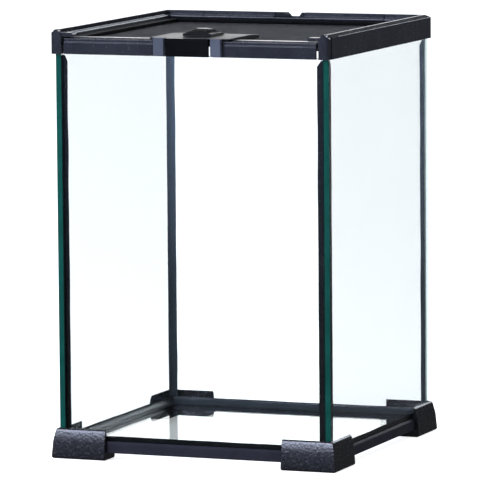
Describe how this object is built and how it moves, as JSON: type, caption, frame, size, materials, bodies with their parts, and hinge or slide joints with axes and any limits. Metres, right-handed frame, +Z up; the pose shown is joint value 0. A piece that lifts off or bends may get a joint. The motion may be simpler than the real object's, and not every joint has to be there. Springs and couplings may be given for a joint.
{
  "type": "small animal glass terrarium",
  "caption": "Upright square glass tank on moulded corner feet, with a black top frame, a sliding mesh lid with a front lock, and a shuttered cable notch.",
  "frame": {"origin": "centre of the underside: midway between the outer faces of the feet in X, and midway between the lock's front face and the rear feet in Y, on the plane the feet stand on", "axes": "+Z up, -Y towards the front with the lock, +X to the right seen from the front"},
  "size_m": [0.2094, 0.2114, 0.2981],
  "materials": {
    "glass": "clear float glass, polished, green at the cut edges",
    "silicone": "black aquarium silicone, satin",
    "frame_plastic": "black moulded plastic, satin",
    "grained_plastic": "black moulded plastic with a fine leather grain",
    "gloss_plastic": "polished black plastic",
    "lock_plastic": "grey-blue moulded plastic, satin",
    "mesh": "black coated woven wire",
    "spring_steel": "bare spring wire"
  },
  "bodies": {
    "tank": {"glass_left": "glass", "glass_right": "glass", "glass_front": "glass", "glass_back": "glass", "glass_floor": "glass", "seal_floor": "silicone", "seal_back_right": "silicone", "seal_back_left": "silicone", "seal_front_left": "silicone", "seal_front_right": "silicone", "foot_back_right": "grained_plastic", "foot_back_left": "grained_plastic", "foot_front_left": "grained_plastic", "foot_front_right": "grained_plastic", "base_rail_back": "frame_plastic", "base_rail_left": "frame_plastic", "base_rail_front": "frame_plastic", "base_rail_right": "frame_plastic", "side_rail_left": "frame_plastic", "side_rail_right": "frame_plastic", "front_corner_left": "frame_plastic", "front_corner_right": "frame_plastic", "back_corner_left": "frame_plastic", "back_corner_right": "frame_plastic", "back_rail": "frame_plastic"},
    "lid": {"lid_bar_front": "frame_plastic", "lid_bar_back": "frame_plastic", "lid_bar_left": "frame_plastic", "lid_bar_right": "frame_plastic", "lid_mesh": "mesh", "fascia_left": "frame_plastic", "fascia_right": "frame_plastic", "lock_cheek_left": "lock_plastic", "lock_cheek_right": "lock_plastic", "lock_housing": "frame_plastic", "plate_spring_left": "spring_steel", "plate_spring_right": "spring_steel"},
    "lock_slider": {"lock_slider": "frame_plastic"},
    "latch_bolt": {"latch_bolt": "lock_plastic"},
    "press_plate": {"press_plate": "gloss_plastic"},
    "inlet_shutter": {"inlet_shutter": "frame_plastic"}
  },
  "joints": [
    {"name": "lid_slide", "type": "slide", "parent": "tank", "child": "lid", "axis": [0, -1, 0], "range_m": [0, 0.185]},
    {"name": "lock_slide", "type": "slide", "parent": "lid", "child": "lock_slider", "axis": [0, -1, 0], "range_m": [0, 0.005]},
    {"name": "bolt_drop", "type": "slide", "parent": "lid", "child": "latch_bolt", "axis": [0, 0, -1], "range_m": [0, 0.0035]},
    {"name": "plate_press", "type": "slide", "parent": "lid", "child": "press_plate", "axis": [0, 1, 0], "range_m": [0, 0.002], "stiffness_N_per_m": 400, "springref_m": -0.001, "deforming": ["plate_spring_left", "plate_spring_right"]},
    {"name": "shutter_slide", "type": "slide", "parent": "tank", "child": "inlet_shutter", "axis": [1, 0, 0], "range_m": [0, 0.01]}
  ],
  "couplings": [
    {"joint": "bolt_drop", "follows": "lock_slide", "ratio": 0.7}
  ]
}
